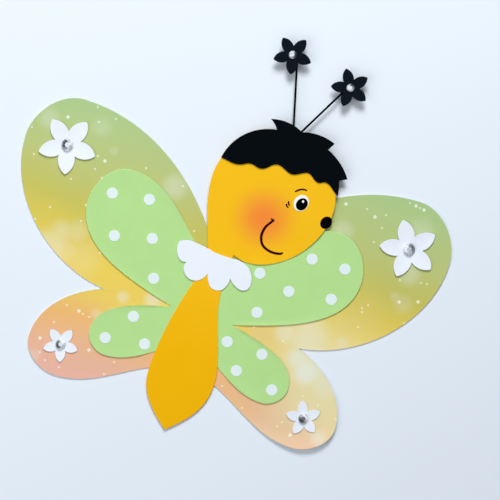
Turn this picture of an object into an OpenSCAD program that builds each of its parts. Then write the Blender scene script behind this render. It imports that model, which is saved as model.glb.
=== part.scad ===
// Paper butterfly: cut card shapes glued in layers, with wire antennas and flat-backed rhinestones.
// It lies on its back. The wings mirror about the Y axis, the head is towards +Y, z = 0 is the back.

/* [Card] */
// Thickness of the printed card of the large wings
printed_card_t = 0.4; // [0.2:0.05:0.8]
// Thickness of the green card of the small wings
green_card_t = 0.4; // [0.2:0.05:0.8]
// Thickness of the yellow card of the head and body
yellow_card_t = 0.4; // [0.2:0.05:0.8]
// Thickness of the card of the hair, collar and flowers
trim_card_t = 0.3; // [0.15:0.05:0.6]
// Thickness of the paper of the punched dots and the eye
dot_paper_t = 0.15; // [0.1:0.05:0.3]

/* [Printed wings] */
// Reach of an upper wing from the middle
printed_reach = 110.8; // [100:0.1:130]
// Height of an upper wing's crest above the middle
printed_crest = 85.5; // [75:0.1:100]
// Reach of a lower wing from the middle
printed_low_reach = 80; // [70:0.1:95]
// Depth of a lower wing below the middle
printed_drop = 50.7; // [45:0.1:60]
// How far out the notch between the upper and lower wing lies
printed_notch_x = 51; // [42:0.1:60]
// How far below the middle the notch of the printed wings lies
printed_notch_drop = 2.3; // [0:0.1:6]

/* [Green wings] */
// Reach of an upper wing from the middle
green_reach = 71.5; // [64:0.1:80]
// Height of an upper wing's crest above the middle
green_crest = 58.9; // [52:0.1:66]
// Reach of a lower wing from the middle
green_low_reach = 51.9; // [46:0.1:58]
// Depth of a lower wing below the middle
green_drop = 33.8; // [30:0.1:38]
// How far out the notch between the upper and lower wing lies
green_notch_x = 16; // [14:0.1:22]
// How far below the middle the notch of the green wings lies
green_notch_drop = 0.8; // [0:0.1:3]

/* [Body] */
// Half the width of the body at its widest
body_half_w = 17; // [13:0.1:20]
// How far the body's point lies below the middle
body_drop = 60.6; // [50:0.1:75]
// Half the width of the neck
neck_half_w = 6.4; // [5:0.1:8]
// Length of the neck between the chin and the body
neck_l = 11; // [8:0.1:14]
// How far the body lies to the left of the wings' middle
body_shift = 1.2; // [0:0.1:3]
// How far the lower end of the neck leans to the right of the body's middle
neck_lean = 0.9; // [0:0.1:2]

/* [Head] */
// Width of the head
head_w = 63.2; // [56:0.1:70]
// Height of the head from the chin to the top under the hair
head_h = 68; // [60:0.1:76]
// How far the head's middle lies to the right of the wings' middle
head_shift = 16; // [12:0.1:20]
// How far above the wings' middle the chin lies
chin_y = 31.1; // [28:0.1:36]
// Angle at which the head stands up from the wings
head_lift = 3.5; // [0:0.1:8]
// Length of the neck over which the card bends up
neck_bend = 20; // [8:0.5:30]

/* [Collar] */
// Width of the collar
collar_w = 40.5; // [34:0.1:48]
// Height of the collar
collar_h = 20; // [16:0.1:24]

/* [Punched dots] */
// Diameter of a punched dot on the wings
dot_d = 5.6; // [4:0.1:7]
// Space between the chin and the dot below it
dot_gap = 0.3; // [0.05:0.05:1]
// Width of the nose, an oval
nose_w = 5.5; // [4:0.1:7]
// Height of the nose
nose_h = 6.5; // [4:0.1:8]
// Width of the pupil, an oval
pupil_w = 5.5; // [4:0.1:6]
// Height of the pupil
pupil_h = 6.5; // [4:0.1:7]
// Width of the white of the eye
eye_w = 7.2; // [6.8:0.1:10]
// Height of the white of the eye
eye_h = 8.4; // [7.2:0.1:11]

/* [Flowers] */
// Radius of an upper wing flower, to the tips of its petals
large_flower_r = 14.9; // [10:0.1:18]
// Radius of a lower wing flower
small_flower_r = 9; // [7:0.1:12]
// Radius of an antenna flower
antenna_flower_r = 9.9; // [7:0.1:12]
// Angle at which the petals stand up from the middle of a flower
petal_lift = 4; // [0:0.5:15]

/* [Rhinestones] */
// Diameter of the stone on an upper wing flower
large_stone_d = 6; // [4:0.1:8]
// Diameter of the stone on a lower wing flower
small_stone_d = 5; // [3:0.1:6]
// Diameter of the stone on an antenna flower
antenna_stone_d = 4; // [3:0.1:5]
// Flat margin of the flower round its stone
stone_margin = 0.5; // [0.2:0.1:1]

/* [Antennas] */
// Diameter of the wire
wire_d = 1.05; // [0.5:0.05:1.4]
// Length of the left stem from the fold of the wire
left_stem = 41.8; // [32:0.1:50]
// Length of the right stem from the fold of the wire
right_stem = 38.1; // [30:0.1:46]
// How far the left flower sits to the left of its stem
left_offset = 2.4; // [0:0.1:3]
// How far the right flower sits to the right of its stem
right_offset = 1.2; // [0:0.1:3]
// Thickness of the glue at the wire
glue_t = 0.05; // [0.02:0.01:0.15]

/* [Hidden] */
$fn = 48;
curve_steps = 14;
arc_steps = 9;
bend_steps = 6;
petal_count = 5;
facet_count = 8;

print_green = "#bfd08a";
leaf_green = "#a9dc86";
yellow = "#f2b718";
black = "#10161c";
white = "#eef2fa";
crystal = "#c9ced6";

// Heights of the layers, from the back upwards
green_z = printed_card_t;
yellow_z = green_z + green_card_t;
wing_dot_z = yellow_z;
face_level = yellow_card_t;
pupil_level = face_level + dot_paper_t;
tall = yellow_z + 4 * yellow_card_t + head_h;

// Curves: a bow leaves p and arrives at q along two headings, an arc stands out by sag to the right
wing_pull = 0.36;
body_pull = 0.3;
tail_pull = 0.4;
function ahead(heading, d) = d * [cos(heading), sin(heading)];
function cubic(p, a, b, q, t) =
    pow(1 - t, 3) * p + 3 * t * pow(1 - t, 2) * a + 3 * t * t * (1 - t) * b + pow(t, 3) * q;
function bow(p, leave, q, arrive, pull = wing_pull) =
    let (d = pull * norm(q - p), a = p + ahead(leave, d), b = q - ahead(arrive, d))
    [for (i = [0 : curve_steps - 1]) cubic(p, a, b, q, i / curve_steps)];
function arc(p, q, sag) =
    let (u = (q - p) / norm(q - p), n = sign(sag) * [u.y, -u.x], half = norm(q - p) / 2)
    let (s = abs(sag), r = (half * half + s * s) / (2 * s), span = 2 * atan(s / half))
    [for (i = [0 : arc_steps - 1])
        let (a = span * (2 * i / arc_steps - 1)) (p + q) / 2 + (r * cos(a) - r + s) * n + r * sin(a) * u];
function step(p, q, sag) = sag == 0 ? [p] : arc(p, q, sag);
// Run of corners [x, y, sag], where sag bends the side that follows the corner, and the same as a closed outline
function bent_run(v) =
    [for (i = [0 : len(v) - 2])
        let (p = v[i], q = v[i + 1]) each step([p[0], p[1]], [q[0], q[1]], p[2])];
function bent_sides(v) = bent_run(concat(v, [v[0]]));
// Wavy run through places that each have a heading
function waves(v, way) =
    [for (i = [0 : len(v) - 2]) each bow(v[i], way[i], v[i + 1], way[i + 1])];

// Wings: the right half runs from the top of the middle, round both wings, to the bottom of the middle
function wing_half(top, top_way, crest, tip, notch, in_way, out_way, low_tip, low, bottom, bottom_way) =
    concat(
        bow(top, top_way, crest, 0),
        bow(crest, 0, tip, -90),
        bow(tip, -90, notch, in_way),
        bow(notch, out_way, low_tip, -90),
        bow(low_tip, -90, low, 180),
        bow(low, 180, bottom, bottom_way),
        [bottom]);
function both_sides(half) = concat(half, [for (i = [len(half) - 2 : -1 : 1]) [-half[i].x, half[i].y]]);

printed_outline = both_sides(wing_half(
    [0, 0.3 * printed_crest], 62,
    [0.79 * printed_reach, printed_crest],
    [printed_reach, 0.7 * printed_crest],
    [printed_notch_x, -printed_notch_drop], 187, -19,
    [printed_low_reach, -0.7 * printed_drop],
    [0.77 * printed_low_reach, -printed_drop],
    [0, -0.56 * printed_drop], 176));
green_outline = both_sides(wing_half(
    [0, 0.36 * green_crest], 34,
    [0.76 * green_reach, green_crest],
    [green_reach, 0.65 * green_crest],
    [green_notch_x, -green_notch_drop], 196, -15,
    [green_low_reach, -0.7 * green_drop],
    [0.79 * green_low_reach, -green_drop],
    [0, -0.48 * green_drop], 165));

// Body and head: one outline, counter-clockwise from the left of the neck
neck_top = chin_y;
neck_low = neck_top - neck_l;
neck_left = [neck_lean - body_shift - neck_half_w, neck_low];
neck_right = [neck_lean - body_shift + neck_half_w, neck_low];
belly_left = [-body_shift - 0.97 * body_half_w, -0.58 * body_drop];
belly_right = [-body_shift + body_half_w, -0.52 * body_drop];
body_point = [-body_shift, -body_drop];
head_mid = [head_shift, chin_y + head_h / 2];
chin_notch = [-body_shift + 1.15 * neck_half_w, neck_top + 0.03 * head_h];
nape = [-body_shift - 0.85 * neck_half_w, neck_top];
head_left = head_mid + [-head_w / 2, 0.04 * head_h];
head_right = head_mid + [head_w / 2, 0.04 * head_h];
head_top = head_mid + [0, head_h / 2];
chin = head_mid + [-0.05 * head_w, -head_h / 2];
head_and_body_outline = concat(
    bow(neck_left, -112, belly_left, -90, body_pull),
    bow(belly_left, -90, body_point, -40),
    bow(body_point, 41, belly_right, 90, tail_pull),
    bow(belly_right, 90, neck_right, 78, body_pull),
    [neck_right],
    bow(chin_notch, -20, chin, 0),
    bow(chin, 0, head_right, 90),
    bow(head_right, 90, head_top, 180),
    bow(head_top, 180, head_left, -90),
    bow(head_left, -90, nape, -73),
    [nape]);

// Places on the head, in hundredths of its width and height from its middle
function on_head(p) = head_mid + [p[0] * head_w, p[1] * head_h] / 100;
// The fringe has four waves, with a heading at each low and high place
fringe = [
    [-47.5, 18.5, -6], [-31.6, 17.5, 17], [-25, 20.2, 17], [-13.9, 19.2, 17], [-4.3, 25.2, 17],
    [11.6, 22, 17], [20.7, 25.9, 17], [32.9, 21.6, 17], [35.7, 22.9, 17], [49.4, 16.4, -24]];
tufts = [
    [49.4, 16.4, 0.4], [47, 27.3, 0], [53, 30.1, 1.9], [31.6, 46.6, 0], [35.1, 52.2, 2.2],
    [7.8, 53.4, 2.5], [-18.7, 56, -0.6], [-11.7, 49.7, 7.5], [-47.5, 18.5, 0]];
hair_outline = concat(
    waves([for (c = fringe) on_head(c)], [for (c = fringe) c[2]]),
    bent_run([for (c = tufts) concat(on_head(c), c[2] * head_h / 100)]));
nose_at = on_head([46.9, -4.8]);
eye_at = on_head([23.6, 3.6]);
pupil_at = on_head([24.3, 2.9]);
eye_turn = -18;
spot_turn = -25;

// The card bends up along the neck and then runs straight
function rise(y) =
    let (d = y - neck_top)
    tan(head_lift) * (d < 0 ? 0 : d < neck_bend ? d * d / neck_bend / 2 : d - neck_bend / 2);

// Collar of four scallops: corners in hundredths of its width and height from its middle
collar_mid = [-body_shift, neck_top - 0.37 * collar_h];
collar_corners = [
    [-37.9, 49.3, 1.8], [-50.6, 40.3, 5.3], [-45.1, -1.2, 3.6],
    [-34.8, -4.3, 3.3], [-34.5, -28.7, 11.1], [-11.9, -37.2, 1.3],
    [-5.6, -17.3, 1.6], [1.4, -45.7, 10], [20.3, -36.6, 1.9],
    [22.7, -12.8, 3.3], [38.4, -32.7, 5.8], [49.1, -16.1, 4.9], [41.3, 24.8, 4.8],
    [18.9, 36.6, -0.9], [-5.9, 38.7, 2]];
collar_outline = bent_sides([for (c = collar_corners)
    concat(collar_mid + [c[0] * collar_w, c[1] * collar_h] / 100, c[2] * collar_h / 100)]);
collar_z = yellow_z + yellow_card_t + rise(collar_mid.y + collar_h / 2);

// Dots on the green wings, in hundredths of the reach and crest, or of the low reach and drop.
// Three dots keep beside the body and below the chin.
upper_dots = [
    [-85, 76], [-59, 80], [-75, 42], [-49, 49], [-40, 17],
    [62, 72], [86, 72], [53, 40], [83, 44], [36, 15]];
lower_dots = [[-63, -33], [-83, -75], [66, -31], [47, -65], [85, -77]];
chin_dot = [0.3 * green_reach, chin_y - dot_gap - dot_d / 2];
left_belly_dot = [-body_shift - 1.3 * body_half_w, -0.67 * green_drop];
right_belly_dot = [-body_shift + body_half_w, -0.28 * green_drop];
dot_places = concat(
    [for (d = upper_dots) [d[0] * green_reach, d[1] * green_crest] / 100],
    [for (d = lower_dots) [d[0] * green_low_reach, d[1] * green_drop] / 100],
    [chin_dot, left_belly_dot, right_belly_dot]);

// Flowers: they lie on the printed margin beyond the green wings
function between(a, b, share) = a + share * (b - a);
upper_flower = [between(green_reach, printed_reach, 0.45), between(green_crest, printed_crest, 0.09)];
lower_flower = [between(green_low_reach, printed_low_reach, 0.41), -between(green_drop, printed_drop, 0.07)];
wing_flowers = [
    ["upper_left", [-upper_flower.x, upper_flower.y], large_flower_r, -78, large_stone_d],
    ["upper_right", upper_flower, large_flower_r, 118, large_stone_d],
    ["lower_left", [-lower_flower.x, lower_flower.y], small_flower_r, -76, small_stone_d],
    ["lower_right", lower_flower, small_flower_r, 110, small_stone_d]];

// Antennas: one wire, folded to a V behind the hair, with a flower on each end
left_way = 104;
right_way = 60.7;
wire_fold = on_head([2.8, 46]);
wire_z = yellow_z + rise(wire_fold.y - wire_d / 2) - glue_t - wire_d / 2;
antenna_flower_z = wire_z + wire_d / 2 + glue_t;
antenna_flowers = [
    ["left", wire_fold + ahead(left_way, left_stem) - [left_offset, 0], -79],
    ["right", wire_fold + ahead(right_way, right_stem) + [right_offset, 0], 120]];

dot_names = [for (i = [1 : len(dot_places)]) str("white_dot_", i < 10 ? "0" : "", i)];

// Layer of thickness t that lies at a level above the underside of the yellow card and rises with the head
module rising_layer(level, t) {
    bends = [for (i = [0 : bend_steps]) neck_top + neck_bend * i / bend_steps];
    ways = concat([-2 * body_drop], bends, [neck_top + 2 * head_h]);
    low = [for (y = ways) [y, yellow_z + level + rise(y)]];
    high = [for (i = [len(low) - 1 : -1 : 0]) low[i] + [0, t]];
    translate([-2 * head_w, 0, 0])
        rotate([90, 0, 90])
            linear_extrude(4 * head_w)
                polygon(concat(low, high));
}

// Flat cut-out that is laid into such a layer
module on_rising_layer(level, t) {
    intersection() {
        linear_extrude(tall) children();
        rising_layer(level, t);
    }
}

module printed_wings() {
    color(print_green)
        linear_extrude(printed_card_t)
            polygon(printed_outline);
}

module green_wings() {
    color(leaf_green)
        translate([0, 0, green_z])
            linear_extrude(green_card_t)
                polygon(green_outline);
}

module head_and_body() {
    color(yellow)
        on_rising_layer(0, yellow_card_t)
            polygon(head_and_body_outline);
}

module hair() {
    color(black)
        on_rising_layer(face_level, trim_card_t)
            polygon(hair_outline);
}

module collar() {
    color(white)
        translate([0, 0, collar_z])
            linear_extrude(trim_card_t)
                polygon(collar_outline);
}

// Flat oval of paper
module oval(wide, high) {
    polygon([for (a = [0 : 10 : 350]) [wide * cos(a), high * sin(a)] / 2]);
}

module nose() {
    color(black)
        on_rising_layer(face_level, dot_paper_t)
            translate(nose_at) rotate(spot_turn) oval(nose_w, nose_h);
}

module eye_white() {
    color(white)
        on_rising_layer(face_level, dot_paper_t)
            translate(eye_at) rotate(eye_turn) oval(eye_w, eye_h);
}

module eye_pupil() {
    color(black)
        on_rising_layer(pupil_level, dot_paper_t)
            translate(pupil_at) rotate(spot_turn) oval(pupil_w, pupil_h);
}

module white_dot(place) {
    color(white)
        translate([place.x, place.y, wing_dot_z])
            cylinder(d = dot_d, h = dot_paper_t);
}

// Wire folded to a V: two straight stems from a round fold
module antenna_wire() {
    color(black)
        translate([wire_fold.x, wire_fold.y, wire_z]) {
            sphere(d = wire_d);
            rotate([0, 90, left_way]) cylinder(d = wire_d, h = left_stem);
            rotate([0, 90, right_way]) cylinder(d = wire_d, h = right_stem);
        }
}

// Flower with pointed petals: its star is cut from card that is flat under the stone and rises outside it
module flower(r, stone_d) {
    valley = 0.45 * r;
    core = stone_d / 2 + stone_margin;
    turn = 360 / petal_count;
    star = bent_sides([for (k = [0 : petal_count - 1], tip = [true, false])
        concat(ahead(turn * (tip ? k : k + 0.5), tip ? r : valley), 0.11 * r)]);
    edge = [1.2 * r, tan(petal_lift) * (1.2 * r - core)];
    intersection() {
        linear_extrude(r) polygon(star);
        rotate_extrude()
            polygon([[0, 0], [core, 0], edge, edge + [0, trim_card_t], [core, trim_card_t], [0, trim_card_t]]);
    }
}

module wing_flower(f) {
    color(white)
        translate([f[1].x, f[1].y, printed_card_t])
            rotate(f[3])
                flower(f[2], f[4]);
}

module antenna_flower(a) {
    color(black)
        translate([a[1].x, a[1].y, antenna_flower_z])
            rotate(a[2])
                flower(antenna_flower_r, antenna_stone_d);
}

// Flat-backed stone: a round blank that is ground to two rows of facets, with the table left on top
module stone(d) {
    girdle = 0.08 * d;
    h = 0.42 * d;
    table_r = 0.2 * d;
    wide = 0.6 * d;
    crown_r = d / 2 - (h - girdle) / tan(60);
    star_z = h - (wide - table_r) * tan(32);
    intersection() {
        cylinder(d = d, h = h);
        facets(d, 0, [[d / 2, 0], [d / 2, girdle], [crown_r, h]]);
        facets(d, 0.5, [[wide, 0], [wide, star_z], [table_r, h]]);
    }
}

// One row of facets: the side profile, mirrored and as deep as the stone, at each turn of the row
module facets(d, turn, side) {
    profile = concat(side, [for (i = [len(side) - 1 : -1 : 0]) [-side[i].x, side[i].y]]);
    intersection_for (k = [0 : facet_count / 2 - 1])
        rotate([90, 0, (k + turn) * 360 / facet_count])
            linear_extrude(2 * d, center = true)
                polygon(profile);
}

module wing_stone(f) {
    color(crystal)
        translate([f[1].x, f[1].y, printed_card_t + trim_card_t])
            rotate(f[3])
                stone(f[4]);
}

module antenna_stone(a) {
    color(crystal)
        translate([a[1].x, a[1].y, antenna_flower_z + trim_card_t])
            rotate(a[2])
                stone(antenna_stone_d);
}

printed_wings();
green_wings();
head_and_body();
hair();
collar();
nose();
eye_white();
eye_pupil();
antenna_wire();
for (f = wing_flowers) {
    wing_flower(f);
    wing_stone(f);
}
for (a = antenna_flowers) {
    antenna_flower(a);
    antenna_stone(a);
}
for (i = [0 : len(dot_places) - 1])
    white_dot(dot_places[i]);
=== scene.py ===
import math
import bpy
import numpy as np
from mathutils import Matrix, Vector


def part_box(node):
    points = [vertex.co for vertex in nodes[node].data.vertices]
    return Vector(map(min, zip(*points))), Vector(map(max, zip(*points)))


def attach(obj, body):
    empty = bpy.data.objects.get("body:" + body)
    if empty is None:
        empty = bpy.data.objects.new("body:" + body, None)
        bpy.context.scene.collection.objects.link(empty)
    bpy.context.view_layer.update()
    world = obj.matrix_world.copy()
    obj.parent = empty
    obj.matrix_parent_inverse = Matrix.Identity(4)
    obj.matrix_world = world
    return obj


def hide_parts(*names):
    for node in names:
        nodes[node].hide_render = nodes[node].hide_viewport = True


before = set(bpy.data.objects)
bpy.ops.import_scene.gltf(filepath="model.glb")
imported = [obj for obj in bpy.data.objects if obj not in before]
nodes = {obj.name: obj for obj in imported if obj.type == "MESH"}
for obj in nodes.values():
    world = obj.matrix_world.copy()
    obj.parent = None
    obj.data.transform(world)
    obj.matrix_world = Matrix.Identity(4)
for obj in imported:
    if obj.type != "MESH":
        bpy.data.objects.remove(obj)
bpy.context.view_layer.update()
mm = 0.001
print("frame loaded:", len(nodes), "pieces")


# camera: straight above and turned with the photo, in mm and degrees, its square frame 250 mm across at z = 0
camera = {"middle": (13.3, 37.7), "turn": 17, "across": 250, "lens": 200, "sensor": 36, "farthest": 20000,
          "pixels": 500}
turn = math.radians(camera["turn"])
rightWay = np.array([math.cos(turn), math.sin(turn)])  # the photo's right and up, on the sheet
upWay = np.array([-math.sin(turn), math.cos(turn)])


def fromPhoto(px, py):
    # a pixel of the square frame to millimetres on the sheet
    step, half = camera["across"] / camera["pixels"], camera["pixels"] / 2
    return np.array(camera["middle"]) + step * (px - half) * rightWay + step * (half - py) * upWay


def linear(hexText):
    # sRGB hex to the linear colour that sockets take
    s = np.array([int(hexText[i:i + 2], 16) for i in (1, 3, 5)]) / 255
    return (*np.where(s <= 0.04045, s / 12.92, ((s + 0.055) / 1.055) ** 2.4).tolist(), 1.0)


def addNode(tree, kind, settings=(), sockets=(), stops=()):
    # one node: its settings, its sockets as values or links, and a ramp's stops as (place, hex)
    node = tree.nodes.new(kind)
    for key, value in dict(settings).items():
        setattr(node, key, value)
    for key, value in dict(sockets).items():
        if isinstance(value, bpy.types.NodeSocket):
            tree.links.new(value, node.inputs[key])
        else:
            node.inputs[key].default_value = value
    for i, (place, colour) in enumerate(stops):
        ramp = node.color_ramp.elements
        stop = ramp[i] if i < 2 else ramp.new(place)  # a new ramp has two stops
        stop.position, stop.color = place, linear(colour)
    return node


def newMaterial(name):
    material = bpy.data.materials.new(name)
    material.use_nodes = True
    material.node_tree.nodes.clear()
    return material, material.node_tree


# outlines

def nodeOutline(name):
    # edges of a node's upward faces that no other upward face shares, followed round, in mm
    mesh = nodes[name].data
    mesh.calc_loop_triangles()
    place = np.empty(3 * len(mesh.vertices))
    mesh.vertices.foreach_get("co", place)
    corner = np.empty(3 * len(mesh.loop_triangles), int)
    mesh.loop_triangles.foreach_get("vertices", corner)
    fine, upward = 1e6, 0.5  # corners are matched to a micrometre, faces by the rise of their normals
    spots, same = np.unique(np.round(place.reshape(-1, 3) * fine), axis=0, return_inverse=True)
    corner = same.reshape(-1)[corner].reshape(-1, 3)
    a, b, c = spots[corner[:, 0]], spots[corner[:, 1]], spots[corner[:, 2]]
    normal = np.cross(b - a, c - a)
    corner = corner[normal[:, 2] > upward * np.linalg.norm(normal, axis=1)]
    edge = np.concatenate([corner[:, [0, 1]], corner[:, [1, 2]], corner[:, [2, 0]]])
    count = len(spots)
    outer = edge[~np.isin(edge[:, 0] * count + edge[:, 1], edge[:, 1] * count + edge[:, 0])]
    ahead = np.zeros(count, int)
    ahead[outer[:, 0]] = outer[:, 1]
    chain = outer[:1, 0]
    while len(chain) < len(outer):  # each round doubles the stretch that has been followed
        chain = np.concatenate([chain, ahead[chain]])
        ahead = ahead[ahead]
    return spots[chain[:len(outer)], :2] / (fine * mm)


def cubic(p, leave, q, arrive, t):
    # from p to q along the ways in which it leaves and arrives: h00 p + h10 leave + h01 q + h11 arrive
    return ((2 * t ** 3 - 3 * t ** 2 + 1) * p + (t ** 3 - 2 * t ** 2 + t) * leave
            + (3 * t ** 2 - 2 * t ** 3) * q + (t ** 3 - t ** 2) * arrive)


def smoothOutline(points, spacing, corner=28):
    # cubics through the points of a closed line, which keep corners that turn by more than an angle
    back, ahead = np.roll(points, 1, 0), np.roll(points, -1, 0)
    inWay, outWay = points - back, ahead - points
    inLength, outLength = np.linalg.norm(inWay, axis=1), np.linalg.norm(outWay, axis=1)
    bent = np.degrees(np.arccos(np.clip((inWay * outWay).sum(1) / inLength / outLength, -1, 1)))
    slope = (ahead - back) / (inLength + outLength)[:, None]
    sharp = (bent > corner)[:, None]
    leave = np.where(sharp, outWay / outLength[:, None], slope) * outLength[:, None]
    arrive = np.roll(np.where(sharp, inWay / inLength[:, None], slope), -1, 0) * outLength[:, None]
    share = np.maximum(1, np.ceil(outLength / spacing)).astype(int)
    segment = np.repeat(np.arange(len(points)), share)
    t = ((np.arange(share.sum()) - np.repeat(np.cumsum(share) - share, share)) / share[segment])[:, None]
    return cubic(points[segment], leave[segment], ahead[segment], arrive[segment], t)


def curveThrough(points, count):
    # cubics through the hand-set points of an open line
    p = np.array(points, float)
    slope = np.gradient(p, axis=0)
    t = np.linspace(0, len(p) - 1, count)
    i = np.minimum(t.astype(int), len(p) - 2)
    return cubic(p[i], slope[i], p[i + 1], slope[i + 1], (t - i)[:, None])


def roundOutline(middle, across, count=48):
    # circle or oval: c + (w cos a, h sin a) / 2
    a = np.arange(count) * 2 * np.pi / count
    return np.array(middle) + np.stack([np.cos(a) * across[0], np.sin(a) * across[1]], 1) / 2


# meshes

def meshObject(name, points, faces, materials, faceMaterial=None):
    # a closed surface, from mm to metres, riding on the one body
    mesh = bpy.data.meshes.new(name)
    mesh.from_pydata((points * mm).tolist(), [], faces)
    mesh.polygons.foreach_set("use_smooth", np.ones(len(faces), bool))
    for material in materials:
        mesh.materials.append(material)
    if faceMaterial is not None:
        mesh.polygons.foreach_set("material_index", faceMaterial)
    mesh.update()
    piece = bpy.data.objects.new(name, mesh)
    bpy.context.scene.collection.objects.link(piece)
    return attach(piece, "root")


def gridFaces(rows, columns, order=1):
    # quads of a grid whose columns close round, then a fan at each end pole; order -1 turns them over
    k, i = np.meshgrid(np.arange(rows - 1), np.arange(columns), indexing="ij")
    j = (i + 1) % columns
    quads = np.stack([k * columns + i, (k + 1) * columns + i, (k + 1) * columns + j, k * columns + j], 2)
    i = np.arange(columns)
    j = (i + 1) % columns
    first, last, end = rows * columns, rows * columns + 1, (rows - 1) * columns
    start = np.stack([np.full(columns, first), i, j], 1)
    finish = np.stack([np.full(columns, last), end + j, end + i], 1)
    return [face for part in (quads.reshape(-1, 4), start, finish) for face in part[:, ::order].tolist()]


# rims of cut card: the last ring inside the bevel and the bevel's bend, as shares of its width,
# the rows of the cut itself, and the bevel on the underside in mm
rim = {"inside": 1.8, "bend": 0.3, "cutRows": 3, "below": 0.04}


def starSheet(name, outline, middle, thick, height, materials, rings, edge, back=0):
    # card P(s, t) = c + r(t) (b(s) - c): rings over the top, round the rim and back under to the middle
    middle = np.array(middle, float)
    reach = np.linalg.norm(outline - middle, axis=1)
    bend, below = rim["bend"], rim["below"]
    # way in and level of the rings round the rim
    profile = np.array([(edge, thick), (bend * edge, thick - bend * edge), (0, thick - edge),
                        (0, below), (bend * below, bend * below), (below, 0)])
    inside, out = np.full(rings, rim["inside"] * edge), np.arange(1, rings + 1)
    share = np.concatenate([out, np.full(len(profile), rings), out[::-1]]) / rings
    inset = np.concatenate([inside, profile[:, 0], inside])
    level = np.concatenate([np.full(rings, thick), profile[:, 1], np.zeros(rings)])
    pulled = share[:, None] * (1 - inset[:, None] / reach)
    flat = middle + (outline - middle) * pulled[..., None]
    z = height(flat, reach * (1 - pulled)) + level[:, None]
    grid = np.concatenate([flat, z[..., None]], 2)
    centre = height(middle[None, None], reach.max())[0, 0]
    poles = np.array([[*middle, centre + thick], [*middle, centre]])
    faces = gridFaces(len(share), len(outline))
    row = np.repeat(np.arange(len(share) - 1), len(outline))
    side = np.where(row <= rings, 0, np.where(row <= rings + rim["cutRows"], 1, back))  # top, cut and back
    slots = np.concatenate([side, np.repeat([0, back], len(outline))])
    return meshObject(name, np.concatenate([grid.reshape(-1, 3), poles]), faces, materials,
                      slots if len(materials) > 1 else None)


# rows of a ruled card: the share of their spacing that is even, the share left off at each end, the least
# width in mm, the bevel's largest share of a row, and the first column inside it in widths of the bevel
ruled = {"even": 0.55, "trim": 0.0004, "least": 1e-4, "bevel": 0.12, "inside": 3}


def ruledSheet(name, outline, tilt, thick, height, materials, slices, columns, edge, fan=None):
    # card P(u, v) = l(v) + u (r(v) - l(v)): straight rows from edge to edge, tilted or fanned from a place
    a = math.radians(tilt)
    along, across = np.array([math.cos(a), math.sin(a)]), np.array([-math.sin(a), math.cos(a)])
    away = outline - np.array(fan or (0, 0))
    u, v = away @ along, away @ across
    if fan:
        u, v = np.linalg.norm(away, axis=1), np.arctan2(v, u)
    start = int(np.argmin(v))
    u, v = np.roll(u, -start), np.roll(v, -start)
    top = int(np.argmax(v))
    x = np.linspace(0, 1, slices)
    x = ruled["even"] * x + (1 - ruled["even"]) * (0.5 - 0.5 * np.cos(np.pi * x))  # rows crowd at the ends
    levels = v.min() + (v.max() - v.min()) * (ruled["trim"] + (1 - 2 * ruled["trim"]) * x)
    right = np.interp(levels, np.maximum.accumulate(v[:top + 1]), u[:top + 1])
    leftU, leftV = np.append(u[top:], u[0])[::-1], np.append(v[top:], v[0])[::-1]
    left = np.interp(levels, np.maximum.accumulate(leftV), leftU)
    wide = np.maximum(right - left, ruled["least"])[:, None]
    e = np.minimum(edge, ruled["bevel"] * wide)
    inside = ruled["inside"] * e
    over = left[:, None] + inside + (wide - 2 * inside) * np.linspace(0, 1, columns)
    bend = rim["bend"]
    inset, fall = np.array([1, bend, 0, 0, bend, 1]), np.array([0, bend, 1, -1, -bend, 0])
    level = np.array([thick, thick, thick, 0, 0, 0]) - fall * e
    turned = np.concatenate([over, right[:, None] - inset * e, over[:, ::-1], left[:, None] + inset * e], 1)
    lifted = np.concatenate([np.full(over.shape, thick), level, np.zeros(over.shape), level[:, ::-1]], 1)
    flat = turned[..., None] * along + levels[:, None, None] * across
    if fan:
        ray = np.cos(levels)[:, None] * along + np.sin(levels)[:, None] * across
        flat = np.array(fan) + turned[..., None] * ray[:, None]
    grid = np.concatenate([flat, (height(flat) + lifted)[..., None]], 2)
    poles = grid[[0, -1]].mean(1)
    faces = gridFaces(slices, grid.shape[1], -1)
    return meshObject(name, np.concatenate([grid.reshape(-1, 3), poles]), faces, materials)


def stroke(name, path, halfWide, halfHigh, materials, around=10):
    # oval section p(s) + w(s) n(s) cos a + h(s) z sin a, carried along a path that lies about level
    way = np.gradient(path, axis=0)
    way /= np.linalg.norm(way, axis=1)[:, None]
    side = np.stack([-way[:, 1], way[:, 0], np.zeros(len(path))], 1)
    side /= np.linalg.norm(side, axis=1)[:, None]
    a = np.arange(around) * 2 * np.pi / around
    grid = (path[:, None] + halfWide[:, None, None] * np.cos(a)[None, :, None] * side[:, None]
            + halfHigh[:, None, None] * np.sin(a)[None, :, None] * np.array([0, 0, 1]))
    faces = gridFaces(len(path), around, -1)
    return meshObject(name, np.concatenate([grid.reshape(-1, 3), path[[0, -1]]]), faces, materials)


# card and paper: width of the clouds and depth of the tooth in mm, its strength, and how far the two vary
card = {"cloud": 9, "depth": 0.02, "relief": 0.6, "swing": 0.4}


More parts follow.
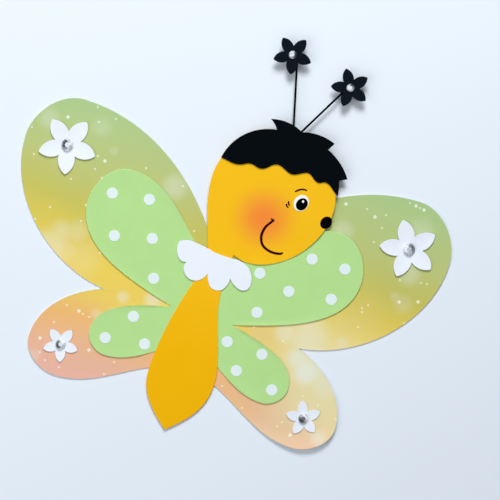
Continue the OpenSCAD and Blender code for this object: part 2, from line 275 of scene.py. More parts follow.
def cardMaterial(name, colour, roughness, gloss, mottle, tooth=0.45):
    # craft card: pulp dyed through and rolled, so it is matt, with faint clouds of fibre and a fine tooth;
    # real fibres are about 0.03 mm wide, too fine to show, so the tooth is drawn some ten times coarser
    material, tree = newMaterial(name)
    place = addNode(tree, "ShaderNodeTexCoord").outputs["Object"]
    cloud = addNode(tree, "ShaderNodeTexNoise", {},
                    {"Vector": place, "Scale": 1 / (card["cloud"] * mm), "Detail": 3})
    pits = addNode(tree, "ShaderNodeTexNoise", {}, {"Vector": place, "Scale": 1 / (tooth * mm), "Detail": 4})
    tone = addNode(tree, "ShaderNodeMath", {"operation": "ADD"},
                   {0: cloud.outputs["Fac"], 1: pits.outputs["Fac"]})
    shade = addNode(tree, "ShaderNodeMapRange", {},
                    {"Value": tone.outputs[0], "From Min": 1 - card["swing"], "From Max": 1 + card["swing"],
                     "To Min": 1 - mottle, "To Max": 1 + mottle})
    tint = addNode(tree, "ShaderNodeVectorMath", {"operation": "SCALE"},
                   {0: linear(colour)[:3], "Scale": shade.outputs[0]})
    relief = addNode(tree, "ShaderNodeBump", {}, {
        "Height": pits.outputs["Fac"], "Distance": card["depth"] * mm, "Strength": card["relief"]})
    shader = addNode(tree, "ShaderNodeBsdfPrincipled", {}, {
        "Base Color": tint.outputs[0], "Roughness": roughness, "Specular IOR Level": gloss,
        "Normal": relief.outputs[0]})
    addNode(tree, "ShaderNodeOutputMaterial", {}, {"Surface": shader.outputs[0]})
    return material


greenCard = cardMaterial("green_craft_card", "#b8df8d", roughness=0.8, gloss=0.15, mottle=0.03)
# the green card's cut edge is painted paler than the card: a painted highlight along its bevel
greenEdgeHighlight = cardMaterial("green_card_edge_painted_highlight", "#e4f6cc", roughness=0.9, gloss=0.1, mottle=0.03)
whiteCard = cardMaterial("white_craft_card", "#eff2f7", roughness=0.8, gloss=0.15, mottle=0.015)
whitePaper = cardMaterial("white_punched_paper", "#e6f1ed", roughness=0.85, gloss=0.12, mottle=0.015,
                          tooth=0.3)
blackCard = cardMaterial("black_craft_card", "#04090d", roughness=0.85, gloss=0.04, mottle=0.12, tooth=0.5)
greyBlackCard = cardMaterial("grey_black_craft_card", "#0c141b", roughness=0.85, gloss=0.06, mottle=0.12,
                             tooth=0.5)
blackPaper = cardMaterial("black_punched_paper", "#020204", roughness=0.8, gloss=0.02, mottle=0.1, tooth=0.3)
eyePaper = cardMaterial("bright_white_paper", "#fffdf5", roughness=0.85, gloss=0.12, mottle=0.01, tooth=0.3)
paperCore = cardMaterial("white_core_of_printed_card", "#efeee6", roughness=0.9, gloss=0.1, mottle=0.02,
                         tooth=0.2)
print("card made")


# printed wings: one sheet whose rim lifts a little and curls up at the tips
printedWings = {
    "middle": (0, 5), "spacing": 1.4, "rings": 30, "edge": 0.12,
    "lift": 0.08, "band": 13,  # mm of lift all round, and of rim that can curl up
    # curls: place, lift and width in mm
    "curls": [((75, -45), 2.4, 18), ((106, 68), 0.45, 22), ((-106, 68), 0.3, 22), ((-70, -46), 0.25, 18)],
}

# their print: colours up the sheet, others that run in, blurred lights, specks and larger sparks
wingPrint = {
    "colours": [(-54, "#ebb19f"), (-38, "#edb695"), (-20, "#f1b96f"), (-6, "#efce5e"), (8, "#f0d056"),
                (22, "#e0c852"), (36, "#c8c05a"), (54, "#bec476"), (86, "#aec988")],  # heights in mm
    "drift": 42, "wander": 6,  # the colours wander up and down by 6 mm, over about 42 mm
    # patches where another colour runs in: middle and radius in mm, strength
    "patches": [((68, -12), 46, 0.75, "#efe4ae"), ((50, -47), 34, 0.7, "#f0cfa0"),
                ((28, -36), 26, 0.8, "#f1be86"), ((84, -30), 28, 0.6, "#e9da98"),
                ((66, -22), 32, 0.7, "#eae0aa"), ((52, -3), 22, 0.6, "#ebdfa6"),
                ((31, -2), 15, 0.6, "#e9ca8c"), ((78, 27), 22, 0.25, "#e0cc7c")],
    # lights: pixel, radius in mm, strength
    "lights": [(49, 118, 5.5, 0.22), (102, 127, 5, 0.16), (114, 151, 2.5, 0.14), (175, 187, 6.5, 0.3),
               (52, 247, 9.5, 0.36), (62, 233, 6.5, 0.28), (65, 251, 7, 0.22), (77, 232, 6, 0.22),
               (82, 257, 10, 0.12), (123, 297, 3.2, 0.35), (153, 300, 4.5, 0.45), (343, 231, 5.5, 0.25),
               (421, 232, 7, 0.2), (409, 274, 6, 0.25), (403, 304, 5.2, 0.16), (395, 297, 2.8, 0.18),
               (285, 332, 5.5, 0.4), (308, 334, 10, 0.35), (342, 343, 3.2, 0.25), (306, 372, 6.5, 0.8),
               (314, 366, 9, 0.55), (326, 384, 7, 0.3), (299, 359, 6, 0.6), (318, 438, 4, 0.4),
               (96, 314, 3, 0.22), (34, 355, 3.5, 0.2)],
    "haze": "#ebeedd", "hazeFade": (0.3, 1.4),  # colour of a light, and its fade as shares of its radius
    "specks": {"radius": 0.65, "strength": 0.75, "pixels": [
        (98, 107), (99, 122), (116, 119), (32, 127), (34, 154), (98, 156), (95, 169), (71, 179), (102, 178),
        (146, 168), (183, 186), (50, 207), (35, 219), (81, 221), (86, 205), (194, 231), (100, 253),
        (67, 305), (83, 314), (89, 317), (54, 322), (40, 352), (45, 360), (59, 367), (114, 362), (104, 374),
        (367, 209), (386, 215), (382, 228), (374, 242), (420, 208), (410, 203), (400, 280), (421, 283),
        (427, 284), (368, 305), (362, 308), (362, 312), (404, 323), (358, 327), (283, 341), (254, 327),
        (318, 405), (303, 396), (282, 422), (277, 426), (222, 386), (242, 408), (336, 419)]},
    "sparks": {"radius": 1, "strength": 1, "pixels": [
        (68, 117), (105, 161), (79, 311), (40, 338), (89, 350), (346, 204), (375, 217), (416, 206),
        (424, 210), (399, 302), (418, 302), (290, 435)]},
    "spark": "#daddc4", "sparkFade": (0.4, 1.2),  # colour of specks and sparks, and their fade
    "tooth": 0.4, "depth": 0.012, "relief": 0.5,  # tooth of the card in mm, drawn coarser so that it shows
}


def printMaterial():
    # card printed by offset: matt ink, colours that run into each other, pale out-of-focus lights and specks
    material, tree = newMaterial("printed_scrapbook_card")
    place = addNode(tree, "ShaderNodeTexCoord").outputs["Object"]
    flat = addNode(tree, "ShaderNodeVectorMath", {"operation": "MULTIPLY"},
                   {0: place, 1: (1 / mm, 1 / mm, 0)}).outputs[0]  # millimetres on the sheet
    drift = addNode(tree, "ShaderNodeTexNoise", {},
                    {"Vector": flat, "Scale": 1 / wingPrint["drift"], "Detail": 2})
    wander = addNode(tree, "ShaderNodeMath", {"operation": "MULTIPLY_ADD"},
                     {0: drift.outputs["Fac"], 1: 2 * wingPrint["wander"], 2: -wingPrint["wander"]})
    y = addNode(tree, "ShaderNodeSeparateXYZ", {}, {0: flat}).outputs["Y"]
    height = addNode(tree, "ShaderNodeMath", {"operation": "ADD"}, {0: y, 1: wander.outputs[0]})
    low, high = wingPrint["colours"][0][0], wingPrint["colours"][-1][0]
    share = addNode(tree, "ShaderNodeMapRange", {},
                    {"Value": height.outputs[0], "From Min": low, "From Max": high})
    colour = addNode(tree, "ShaderNodeValToRGB", {}, {"Fac": share.outputs[0]},
                     [((h - low) / (high - low), c) for h, c in wingPrint["colours"]]).outputs["Color"]
    for middle, radius, strength, shade in wingPrint["patches"]:
        gap = addNode(tree, "ShaderNodeVectorMath", {"operation": "DISTANCE"}, {0: flat, 1: (*middle, 0)})
        fade = addNode(tree, "ShaderNodeMapRange", {"interpolation_type": "SMOOTHSTEP"},
                       {"Value": gap.outputs["Value"], "From Min": 0, "From Max": radius,
                        "To Min": strength, "To Max": 0})
        colour = addNode(tree, "ShaderNodeMix", {"data_type": "RGBA"},
                         {0: fade.outputs[0], 6: colour, 7: linear(shade)}).outputs[2]
    glow = 0  # the strongest light at each place
    start, end = wingPrint["hazeFade"]
    for px, py, radius, strength in wingPrint["lights"]:
        gap = addNode(tree, "ShaderNodeVectorMath", {"operation": "DISTANCE"},
                      {0: flat, 1: (*fromPhoto(px, py), 0)})
        fade = addNode(tree, "ShaderNodeMapRange", {"interpolation_type": "SMOOTHSTEP"},
                       {"Value": gap.outputs["Value"], "From Min": start * radius, "From Max": end * radius,
                        "To Min": strength, "To Max": 0})
        glow = addNode(tree, "ShaderNodeMath", {"operation": "MAXIMUM"},
                       {0: glow, 1: fade.outputs[0]}).outputs[0]
    colour = addNode(tree, "ShaderNodeMix", {"data_type": "RGBA"},
                     {0: glow, 6: colour, 7: linear(wingPrint["haze"])}).outputs[2]
    start, end = wingPrint["sparkFade"]
    for spots in (wingPrint["specks"], wingPrint["sparks"]):
        nearest = camera["across"]  # the way to the nearest spot, at first further off than any
        for px, py in spots["pixels"]:
            gap = addNode(tree, "ShaderNodeVectorMath", {"operation": "DISTANCE"},
                          {0: flat, 1: (*fromPhoto(px, py), 0)})
            nearest = addNode(tree, "ShaderNodeMath", {"operation": "MINIMUM"},
                              {0: nearest, 1: gap.outputs["Value"]}).outputs[0]
        fade = addNode(tree, "ShaderNodeMapRange", {"interpolation_type": "SMOOTHSTEP"},
                       {"Value": nearest, "From Min": start * spots["radius"],
                        "From Max": end * spots["radius"], "To Min": spots["strength"], "To Max": 0})
        colour = addNode(tree, "ShaderNodeMix", {"data_type": "RGBA", "blend_type": "SCREEN"},
                         {0: fade.outputs[0], 6: colour, 7: linear(wingPrint["spark"])}).outputs[2]
    tooth = addNode(tree, "ShaderNodeTexNoise", {},
                    {"Vector": flat, "Scale": 1 / wingPrint["tooth"], "Detail": 3})
    relief = addNode(tree, "ShaderNodeBump", {}, {
        "Height": tooth.outputs["Fac"], "Distance": wingPrint["depth"] * mm, "Strength": wingPrint["relief"]})
    shader = addNode(tree, "ShaderNodeBsdfPrincipled", {}, {
        "Base Color": colour, "Roughness": 0.62, "Specular IOR Level": 0.2, "Normal": relief.outputs[0]})
    addNode(tree, "ShaderNodeOutputMaterial", {}, {"Surface": shader.outputs[0]})
    return material


def curl(flat, away):
    # rim lift: a little all round and humps h exp(-d^2 / 2 w^2) along the rim, times (1 - away / band) cubed
    hump = printedWings["lift"]
    for place, high, wide in printedWings["curls"]:
        hump = hump + high * np.exp(-((flat - np.array(place)) ** 2).sum(-1) / (2 * wide ** 2))
    return hump * np.clip(1 - away / printedWings["band"], 0, 1) ** 3


low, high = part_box("printed_wings")
printedLine = smoothOutline(nodeOutline("printed_wings"), printedWings["spacing"])
wings = starSheet("printed_wing_sheet", printedLine, printedWings["middle"], (high.z - low.z) / mm, curl,
                  [printMaterial(), paperCore], printedWings["rings"], printedWings["edge"], back=1)
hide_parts("printed_wings")
print("printed wings laid")


# head and body: one yellow card that bends up from the neck, in mm and degrees
head = {"neckTop": 31.1, "bend": 20, "lift": 3.5, "tilt": -36, "thick": 0.4,
        "spacing": 0.8, "slices": 230, "columns": 44, "edge": 0.1}
chin = {"begin": 13, "end": 19, "y": 31, "wide": 4, "lift": 0.3}  # stands off, growing from x to x
yellow = {"low": "#f7b602", "high": "#fdc11a", "lowest": -40, "highest": 60, "cloud": 14, "clouding": 0.5,
          "tooth": 0.5, "depth": 0.02, "relief": 0.6}  # tooth drawn coarser so that it shows
cheek = {"middle": (15.4, 54.9), "core": 1, "reach": 20, "ragged": 1.2, "strength": 0.85, "colour": "#fb7f3a"}


def rise(y):
    # height of the bent card: a parabola along the neck, then a straight slope
    d = y - head["neckTop"]
    bent = np.where(d < head["bend"], np.clip(d, 0, None) ** 2 / head["bend"] / 2, d - head["bend"] / 2)
    return math.tan(math.radians(head["lift"])) * bent


def faceRise(flat):
    # the bent card, plus a hump lift exp(-((y - y0) / w)^2) along the chin that starts beside the collar
    begin = np.clip((flat[..., 0] - chin["begin"]) / (chin["end"] - chin["begin"]), 0, 1)
    hump = np.exp(-((flat[..., 1] - chin["y"]) / chin["wide"]) ** 2)
    return rise(flat[..., 1]) + chin["lift"] * begin ** 2 * (3 - 2 * begin) * hump


def yellowMaterial():
    # yellow craft card, paler above, with orange chalk rubbed into the cheek, which catches on the tooth
    material, tree = newMaterial("yellow_craft_card")
    place = addNode(tree, "ShaderNodeTexCoord").outputs["Object"]
    flat = addNode(tree, "ShaderNodeVectorMath", {"operation": "MULTIPLY"},
                   {0: place, 1: (1 / mm, 1 / mm, 0)}).outputs[0]  # millimetres on the sheet
    cloud = addNode(tree, "ShaderNodeTexNoise", {},
                    {"Vector": flat, "Scale": 1 / yellow["cloud"], "Detail": 2})
    tooth = addNode(tree, "ShaderNodeTexNoise", {},
                    {"Vector": flat, "Scale": 1 / yellow["tooth"], "Detail": 4})
    y = addNode(tree, "ShaderNodeSeparateXYZ", {}, {0: flat}).outputs["Y"]
    middling = yellow["clouding"] / 2
    upper = addNode(tree, "ShaderNodeMapRange", {"interpolation_type": "SMOOTHSTEP"},
                    {"Value": y, "From Min": yellow["lowest"], "From Max": yellow["highest"],
                     "To Min": -middling, "To Max": 1 - middling})
    paler = addNode(tree, "ShaderNodeMath", {"operation": "MULTIPLY_ADD"},
                    {0: cloud.outputs["Fac"], 1: yellow["clouding"], 2: upper.outputs[0]})
    colour = addNode(tree, "ShaderNodeMix", {"data_type": "RGBA"},
                     {0: paler.outputs[0], 6: linear(yellow["low"]), 7: linear(yellow["high"])}).outputs[2]
    gap = addNode(tree, "ShaderNodeVectorMath", {"operation": "DISTANCE"},
                  {0: flat, 1: (*cheek["middle"], 0)})
    rough = addNode(tree, "ShaderNodeMath", {"operation": "MULTIPLY_ADD"},
                    {0: tooth.outputs["Fac"], 1: 2 * cheek["ragged"], 2: -cheek["ragged"]})
    ragged = addNode(tree, "ShaderNodeMath", {"operation": "ADD"},
                     {0: gap.outputs["Value"], 1: rough.outputs[0]})
    fade = addNode(tree, "ShaderNodeMapRange", {"interpolation_type": "SMOOTHSTEP"},
                   {"Value": ragged.outputs[0], "From Min": cheek["core"], "From Max": cheek["reach"],
                    "To Min": cheek["strength"], "To Max": 0})
    facing = addNode(tree, "ShaderNodeNewGeometry").outputs["True Normal"]
    upward = addNode(tree, "ShaderNodeSeparateXYZ", {}, {0: facing}).outputs["Z"]
    front = addNode(tree, "ShaderNodeMath", {"operation": "GREATER_THAN"}, {0: upward, 1: 0})
    chalk = addNode(tree, "ShaderNodeMath", {"operation": "MULTIPLY"},
                    {0: fade.outputs[0], 1: front.outputs[0]})  # none on the back
    colour = addNode(tree, "ShaderNodeMix", {"data_type": "RGBA"},
                     {0: chalk.outputs[0], 6: colour, 7: linear(cheek["colour"])}).outputs[2]
    relief = addNode(tree, "ShaderNodeBump", {}, {
        "Height": tooth.outputs["Fac"], "Distance": yellow["depth"] * mm, "Strength": yellow["relief"]})
    shader = addNode(tree, "ShaderNodeBsdfPrincipled", {}, {
        "Base Color": colour, "Roughness": 0.75, "Specular IOR Level": 0.07, "Normal": relief.outputs[0]})
    addNode(tree, "ShaderNodeOutputMaterial", {}, {"Surface": shader.outputs[0]})
    return material


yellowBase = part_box("head_and_body")[0].z / mm
faceTop = yellowBase + head["thick"]
bodyLine = smoothOutline(nodeOutline("head_and_body"), head["spacing"])
body = ruledSheet("head_and_body_card", bodyLine, head["tilt"], head["thick"],
                  lambda flat: yellowBase + faceRise(flat), [yellowMaterial()],
                  head["slices"], head["columns"], head["edge"])
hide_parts("head_and_body")
print("head and body bent")


# green wings: the rim stands off the sheet below
greenWings = {"middle": (0, 0.5), "spacing": 1.2, "rings": 24, "edge": 0.28, "lift": 0.4, "band": 16}
# what holds it down: flat under the body and free 6 mm beside it, and under the head 0.6 of the room there
covered = {"bodyMiddle": -1.2, "bodyHalf": 17.5, "beside": 6, "headMiddle": (16, 65), "headReach": 37,
           "headRoom": 0.6}
greenLow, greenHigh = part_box("green_wings")
greenLine = smoothOutline(nodeOutline("green_wings"), greenWings["spacing"])


def greenLift(flat, away):
    # room for the rim, times (1 - away / band) squared
    x, y = flat[..., 0], flat[..., 1]
    headX, headY = covered["headMiddle"]
    free = np.clip((np.abs(x - covered["bodyMiddle"]) - covered["bodyHalf"]) / covered["beside"], 0, 1)
    underHead = np.hypot(x - headX, y - headY) < covered["headReach"]
    room = np.where(underHead, covered["headRoom"] * rise(y), greenWings["lift"]) * free
    return np.minimum(room, greenWings["lift"]) * np.clip(1 - away / greenWings["band"], 0, 1) ** 2


greens = starSheet("green_wing_sheet", greenLine, greenWings["middle"], (greenHigh.z - greenLow.z) / mm,
                   lambda flat, away: greenLow.z / mm + greenLift(flat, away), [greenCard, greenEdgeHighlight],
                   greenWings["rings"], greenWings["edge"])
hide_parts("green_wings")
print("green wings laid")


# punched dots, glued on the green sheet so that they follow its lift
dots = {"rings": 4, "edge": 0.05}


def greenRise(flat):
    # lift of the green sheet below a place, from the way still to go to the rim in that direction
    way, rimWay = flat - np.array(greenWings["middle"]), greenLine - np.array(greenWings["middle"])
    reach = np.interp(np.arctan2(way[..., 1], way[..., 0]), np.arctan2(rimWay[:, 1], rimWay[:, 0]),
                      np.linalg.norm(rimWay, axis=1), period=2 * np.pi)
    return greenLift(flat, reach - np.linalg.norm(way, axis=-1))


for name in sorted(n for n in nodes if n.startswith("white_dot_")):
    low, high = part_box(name)
    middle = ((low.x + high.x) / 2 / mm, (low.y + high.y) / 2 / mm)
    dotLine = roundOutline(middle, ((high.x - low.x) / mm, (high.y - low.y) / mm))
    dot = starSheet(name + "_paper", dotLine, middle, (high.z - low.z) / mm,
                    lambda flat, away: low.z / mm + greenRise(flat), [whitePaper],
                    dots["rings"], dots["edge"])
    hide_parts(name)
print("dots laid")


# hair: its rim lifts a little
hair = {"middle": (25.3, 98.3), "thick": 0.3, "spacing": 0.7, "rings": 26, "edge": 0.07,
        "lift": 0.3, "band": 3}


def hairRise(flat, away):
    # on the bent card, lifted by lift (1 - away / band) squared
    return faceTop + rise(flat[..., 1]) + hair["lift"] * np.clip(1 - away / hair["band"], 0, 1) ** 2


piece = starSheet("hair_card", smoothOutline(nodeOutline("hair"), hair["spacing"]), hair["middle"],
                  hair["thick"], hairRise, [blackCard], hair["rings"], hair["edge"])
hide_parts("hair")


# collar: rows that fan out from above the neck
collar = {"fan": (-6.5, 39.5), "tilt": -90, "spacing": 0.4, "corner": 35, "slices": 260, "columns": 20,
          "edge": 0.07}
low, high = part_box("collar")
piece = ruledSheet("collar_card", smoothOutline(nodeOutline("collar"), collar["spacing"], collar["corner"]),
                   collar["tilt"], (high.z - low.z) / mm, lambda flat: np.full(flat.shape[:2], low.z / mm),
                   [whiteCard], collar["slices"], collar["columns"], collar["edge"], collar["fan"])
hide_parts("collar")


# papers of the face: each one's name, how many papers lie under it, its material and slot
facePaper = {"thick": 0.15, "spacing": 0.35, "corner": 60, "rings": 5, "edge": 0.05}
facePieces = {"nose": ("nose_paper", 0, blackPaper, "black_paper"),
              "eye_white": ("eye_white_paper", 0, eyePaper, "white_paper"),
              "eye_pupil": ("eye_pupil_paper", 1, blackPaper, "black_paper")}
for name, (title, under, material, slot) in facePieces.items():
    paperLine = smoothOutline(nodeOutline(name), facePaper["spacing"], facePaper["corner"])
    piece = starSheet(title, paperLine, paperLine.mean(0), facePaper["thick"],
                      lambda flat, away: faceTop + under * facePaper["thick"] + rise(flat[..., 1]),
                      [material], facePaper["rings"], facePaper["edge"])
    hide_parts(name)
print("hair, collar and face papers laid")


# flowers: petals that stand up a little round the stone and hollow along their length, in mm and degrees
flowers = {"petals": 5, "lift": 4, "margin": 0.5, "soft": 0.4,  # the bend lies a margin outside the stone
           "trough": 0.011, "grown": 3,  # the hollow is whole 3 mm further out
           "thick": 0.3, "spacing": 0.5, "corner": 40, "rings": 14, "edge": 0.16}


def flowerCard(name, title, stone, material):
    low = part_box(name)[0]
    stoneLow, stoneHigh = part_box(stone)
    middle = np.array([stoneLow.x + stoneHigh.x, stoneLow.y + stoneHigh.y]) / 2 / mm
    core = (stoneHigh.x - stoneLow.x) / 2 / mm + flowers["margin"]
    line = smoothOutline(nodeOutline(name), flowers["spacing"], flowers["corner"])
    reach = np.linalg.norm(line - middle, axis=1)
    tipWay = line[int(np.argmax(reach))] - middle
    start = math.atan2(tipWay[1], tipWay[0])
    slope = math.tan(math.radians(flowers["lift"]))
    wedge = np.pi / flowers["petals"]  # half the angle of a petal

    def cup(flat, away):
        # slope times a softened r - core, plus a hollow by the square of the way off the petal's mid-line
        d = flat - middle
        r = np.linalg.norm(d, axis=-1)
        out = 0.5 * (r - core + np.sqrt((r - core) ** 2 + flowers["soft"] ** 2))
        off = (np.arctan2(d[..., 1], d[..., 0]) - start + wedge) % (2 * wedge) - wedge
        grown = np.clip((r - core) / flowers["grown"], 0, 1)
        return low.z / mm + slope * out + flowers["trough"] * grown * (r * np.sin(off)) ** 2

    piece = starSheet(title, line, middle, flowers["thick"], cup, [material],
                      flowers["rings"], flowers["edge"])
    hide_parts(name)


for corner in ("upper_left", "upper_right", "lower_left", "lower_right"):
    flowerCard("wing_flower_" + corner, "petals_" + corner, "wing_stone_" + corner, whiteCard)
for side in ("left", "right"):
    flowerCard("antenna_flower_" + side, "antenna_petals_" + side, "antenna_stone_" + side,
               greyBlackCard)
print("flowers set")


# rhinestones: where each one's dark facets look, in degrees on the sheet, and the colour of its table; both
# are painted reflection
stones = {"wing_stone_upper_left": (170, "#e9edf0"), "wing_stone_upper_right": (40, "#c3c8cc"),
          "wing_stone_lower_left": (197, "#e4e8ea"), "wing_stone_lower_right": (225, "#6f6a66"),
          "antenna_stone_left": (12, "#dfe4e8"), "antenna_stone_right": (60, "#e6eaee")}
# their crystal: how finely facets are told apart, the part of chance, the rise of a table's normal, and the
# tones, which are painted reflection from white to dark
crystal = {"snap": 0.13, "chance": 0.7, "table": 0.97,
           "tones": [(0, "#b4babf"), (0.2, "#ffffff"), (0.45, "#dfe3e7"), (0.62, "#a3a9ae"), (0.8, "#4d5256"),
                     (1, "#1c1f22")]}


def stoneMaterial(title, paintedDarkWay, paintedTableColour):
    # machine-cut crystal with a silvered back: each facet gets a painted reflection, white to dark, from the
    # way it faces and from chance, and the table gets a painted colour of its own
    material, tree = newMaterial(title)
    facing = addNode(tree, "ShaderNodeNewGeometry").outputs["True Normal"]
    snapped = addNode(tree, "ShaderNodeVectorMath", {"operation": "SNAP"},
                      {0: facing, 1: [crystal["snap"]] * 3})
    chance = addNode(tree, "ShaderNodeTexWhiteNoise", {"noise_dimensions": "3D"},
                     {"Vector": snapped.outputs[0]})
    level = addNode(tree, "ShaderNodeVectorMath", {"operation": "MULTIPLY"}, {0: facing, 1: (1, 1, 0)})
    level = addNode(tree, "ShaderNodeVectorMath", {"operation": "NORMALIZE"}, {0: level.outputs[0]})
    a = math.radians(paintedDarkWay)
    turned = addNode(tree, "ShaderNodeVectorMath", {"operation": "DOT_PRODUCT"},
                     {0: level.outputs[0], 1: (math.cos(a), math.sin(a), 0)})
    mixed = addNode(tree, "ShaderNodeMath", {"operation": "MULTIPLY_ADD"},
                    {0: chance.outputs["Value"], 1: crystal["chance"], 2: turned.outputs["Value"]})
    share = addNode(tree, "ShaderNodeMapRange", {},
                    {"Value": mixed.outputs[0], "From Min": -1, "From Max": 1 + crystal["chance"]})
    # painted reflection: each facet's tone, white to dark, from the ramp
    tone = addNode(tree, "ShaderNodeValToRGB", {}, {"Fac": share.outputs[0]}, crystal["tones"])
    upward = addNode(tree, "ShaderNodeSeparateXYZ", {}, {0: facing}).outputs["Z"]
    table = addNode(tree, "ShaderNodeMath", {"operation": "GREATER_THAN"}, {0: upward, 1: crystal["table"]})
    colour = addNode(tree, "ShaderNodeMix", {"data_type": "RGBA"},
                     {0: table.outputs[0], 6: tone.outputs["Color"], 7: linear(paintedTableColour)}).outputs[2]
    shader = addNode(tree, "ShaderNodeBsdfPrincipled", {}, {
        "Base Color": colour, "Metallic": 0.05, "Roughness": 0.12, "Coat Weight": 0.5,
        "Coat Roughness": 0.03})
    addNode(tree, "ShaderNodeOutputMaterial", {}, {"Surface": shader.outputs[0]})
    return material


for name, (paintedDarkWay, paintedTableColour) in stones.items():
    nodes[name].data.materials.clear()
    nodes[name].data.materials.append(stoneMaterial("crystal_with_painted_reflections_" + name, paintedDarkWay, paintedTableColour))
print("stones set")


# antenna wire: two stems from a fold behind the hair, in mm and degrees
wire = {"fold": (17.77, 96.38), "leftWay": 104, "leftStem": 41.8, "rightWay": 60.7, "rightStem": 38.1,
        "foldWide": 0.5, "foldEase": 0.35,  # the fold is rounded off
        "endShare": 0.8, "steps": 90, "around": 14,
        "colour": "#020304", "skin": 0.6}  # its lacquer is uneven over 0.6 mm


def enamelMaterial():
    # black enamelled craft wire: drawn smooth and lacquered, so it keeps a thin line of light
    material, tree = newMaterial("black_enamelled_wire")
    place = addNode(tree, "ShaderNodeTexCoord").outputs["Object"]
    skin = addNode(tree, "ShaderNodeTexNoise", {},
                   {"Vector": place, "Scale": 1 / (wire["skin"] * mm), "Detail": 2})
    gloss = addNode(tree, "ShaderNodeMapRange", {},
                    {"Value": skin.outputs["Fac"], "To Min": 0.4, "To Max": 0.6})
    shader = addNode(tree, "ShaderNodeBsdfPrincipled", {}, {
        "Base Color": linear(wire["colour"]), "Roughness": gloss.outputs[0], "Specular IOR Level": 0.03})
    addNode(tree, "ShaderNodeOutputMaterial", {}, {"Surface": shader.outputs[0]})
    return material


low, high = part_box("antenna_wire")
fold = np.array(wire["fold"])
leftTurn, rightTurn = math.radians(wire["leftWay"]), math.radians(wire["rightWay"])
leftEnd = fold + wire["leftStem"] * np.array([math.cos(leftTurn), math.sin(leftTurn)])
rightEnd = fold + wire["rightStem"] * np.array([math.cos(rightTurn), math.sin(rightTurn)])
t = np.linspace(0, 1, wire["steps"])[:, None]
path = np.concatenate([(leftEnd + t * (fold - leftEnd))[:-1], fold + t * (rightEnd - fold)])
between = (leftEnd + rightEnd) / 2 - fold
ease = wire["foldEase"] * np.exp(-((path - fold) ** 2).sum(1) / (2 * wire["foldWide"] ** 2))[:, None]
path = path + ease * between / np.linalg.norm(between)  # rounds the fold
path = np.column_stack([path, np.full(len(path), (low.z + high.z) / 2 / mm)])
halfWire = np.full(len(path), (high.z - low.z) / 2 / mm)
halfWire[[0, -1]] *= wire["endShare"]
piece = stroke("antenna_wire_enamelled", path, halfWire, halfWire, [enamelMaterial()], wire["around"])
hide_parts("antenna_wire")
print("wire bent")


# ink on the face: points and half the width of each line, in mm
inkLines = {
    "smile": ([(18.6, 55.8), (20.1, 55.4), (19.3, 54.2), (17.2, 50.7), (16.7, 46), (18.7, 41.9), (23, 40),
               (27.4, 40.1), (29.6, 41.2)], 0.7),
    "brow": ([(26.2, 72), (27.5, 73.3), (29.2, 74.25), (30.6, 74.55), (31.9, 74.4)], 0.52),
    "laugh_line_upper": ([(24.7, 66.7), (24.9, 65.6), (25.8, 64.6)], 0.42),
    "laugh_line_lower": ([(24, 65.1), (24.3, 64.3), (25.5, 63.4)], 0.42),
}
pen = {"steps": 70, "blunt": 14, "point": 0.05, "high": 0.025,  # mm of ink above the card
       "blot": 1.5, "colours": [(0.3, "#2a0000"), (0.75, "#400200")]}


def inkMaterial():
    # fibre-pen ink: nearly black, brown where it thins, soaked in and matt
    material, tree = newMaterial("brown_black_pen_ink")
    place = addNode(tree, "ShaderNodeTexCoord").outputs["Object"]
    blot = addNode(tree, "ShaderNodeTexNoise", {},
                   {"Vector": place, "Scale": 1 / (pen["blot"] * mm), "Detail": 2})
    colour = addNode(tree, "ShaderNodeValToRGB", {}, {"Fac": blot.outputs["Fac"]}, pen["colours"])
    shader = addNode(tree, "ShaderNodeBsdfPrincipled", {}, {
        "Base Color": colour.outputs["Color"], "Roughness": 0.85, "Specular IOR Level": 0.01})
    addNode(tree, "ShaderNodeOutputMaterial", {}, {"Surface": shader.outputs[0]})
    return material


penInk = inkMaterial()
s = np.linspace(-1, 1, pen["steps"])
taper = np.sqrt(np.clip(1 - np.abs(s) ** pen["blunt"], pen["point"], 1))  # full width with rounded ends
for name, (points, halfWide) in inkLines.items():
    line = curveThrough(points, pen["steps"])
    line = np.column_stack([line, faceTop + faceRise(line)])
    stroke("ink_" + name, line, halfWide * taper, pen["high"] * taper, [penInk])


# light in the eye: a drop of white paint on the pupil, two papers up
glint = {"middle": (31.55, 68.55), "across": (1.05, 1.35), "thick": 0.05,
         "steps": 24, "rings": 3, "edge": 0.02}
starSheet("eye_light_paint", roundOutline(glint["middle"], glint["across"], glint["steps"]),
                  glint["middle"], glint["thick"],
                  lambda flat, away: faceTop + 2 * facePaper["thick"] + rise(flat[..., 1]),
                  [eyePaper], glint["rings"], glint["edge"])
print("face drawn")


# floor, light and camera
floor = {"wide": 3000, "level": -0.1, "cloud": 250,  # mm, just under the sheet
         "colour": "#e9eef3", "clouds": "#ebf0f4"}


def floorMaterial():
    # pale painted board: rolled on, so it is matt and clouds very faintly
    material, tree = newMaterial("pale_painted_board")
    place = addNode(tree, "ShaderNodeTexCoord").outputs["Object"]
    cloud = addNode(tree, "ShaderNodeTexNoise", {},
                    {"Vector": place, "Scale": 1 / (floor["cloud"] * mm), "Detail": 2})
    colour = addNode(tree, "ShaderNodeMix", {"data_type": "RGBA"},
                     {0: cloud.outputs["Fac"], 6: linear(floor["colour"]), 7: linear(floor["clouds"])})
    shader = addNode(tree, "ShaderNodeBsdfPrincipled", {}, {
        "Base Color": colour.outputs[2], "Roughness": 0.8, "Specular IOR Level": 0.1})
    addNode(tree, "ShaderNodeOutputMaterial", {}, {"Surface": shader.outputs[0]})
    return material


half = floor["wide"] / 2
corners = [(-half, -half), (half, -half), (half, half), (-half, half)]
mesh = bpy.data.meshes.new("floor")
mesh.from_pydata([(x * mm, y * mm, floor["level"] * mm) for x, y in corners], [], [(0, 1, 2, 3)])
mesh.materials.append(floorMaterial())
ground = bpy.data.objects.new("floor", mesh)
bpy.context.scene.collection.objects.link(ground)

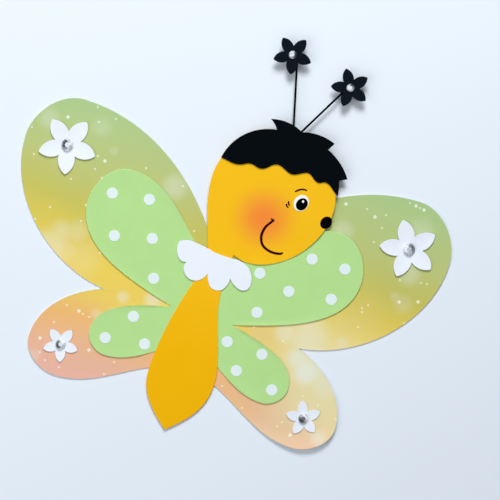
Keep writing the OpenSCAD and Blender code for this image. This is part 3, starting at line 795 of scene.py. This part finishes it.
# lamps: way in the photo, height in degrees, distance and size in mm, watts
lamps = {
    "window": {"way": (0.1, 1), "height": 43, "away": 1100, "size": 400, "power": 10, "colour": "#f4f9ff"},
    "fill": {"way": (-1, -0.45), "height": 50, "away": 650, "size": 550, "power": 1.36, "colour": "#f2f8ff"},
}
for name, lamp in lamps.items():
    flat = lamp["way"][0] * rightWay + lamp["way"][1] * upWay
    flat = flat / np.linalg.norm(flat)
    tall = math.radians(lamp["height"])
    way = np.array([*(math.cos(tall) * flat), math.sin(tall)])
    light = bpy.data.lights.new(name, "AREA")
    light.size, light.energy, light.color = lamp["size"] * mm, lamp["power"], linear(lamp["colour"])[:3]
    lampObject = bpy.data.objects.new(name, light)
    lampObject.location = (np.array([*camera["middle"], 0]) + lamp["away"] * way) * mm
    lampObject.rotation_euler = (math.pi / 2 - tall, 0, math.atan2(flat[1], flat[0]) + math.pi / 2)
    bpy.context.scene.collection.objects.link(lampObject)

# the room round the table, dark low down and pale overhead
room = {"strength": 0.45, "sky": [(0, "#50565d"), (0.5, "#b6bcc4"), (0.85, "#dde3ea"), (1, "#fcfdff")]}
world = bpy.data.worlds.new("pale_room")
world.use_nodes = True
world.node_tree.nodes.clear()
way = addNode(world.node_tree, "ShaderNodeTexCoord").outputs["Generated"]
tall = addNode(world.node_tree, "ShaderNodeSeparateXYZ", {}, {0: way}).outputs["Z"]
sky = addNode(world.node_tree, "ShaderNodeValToRGB", {}, {"Fac": tall}, room["sky"])
air = addNode(world.node_tree, "ShaderNodeBackground", {},
              {"Color": sky.outputs["Color"], "Strength": room["strength"]})
addNode(world.node_tree, "ShaderNodeOutputWorld", {}, {"Surface": air.outputs[0]})
bpy.context.scene.world = world

view = bpy.data.cameras.new("camera")
view.lens, view.sensor_width, view.clip_end = camera["lens"], camera["sensor"], camera["farthest"] * mm
eye = bpy.data.objects.new("camera", view)
eye.location = (camera["middle"][0] * mm, camera["middle"][1] * mm,
                camera["lens"] / camera["sensor"] * camera["across"] * mm)
eye.rotation_euler = (0, 0, turn)
bpy.context.scene.collection.objects.link(eye)
bpy.context.scene.camera = eye
bpy.context.scene.view_settings.view_transform = "Standard"
print("stage set")
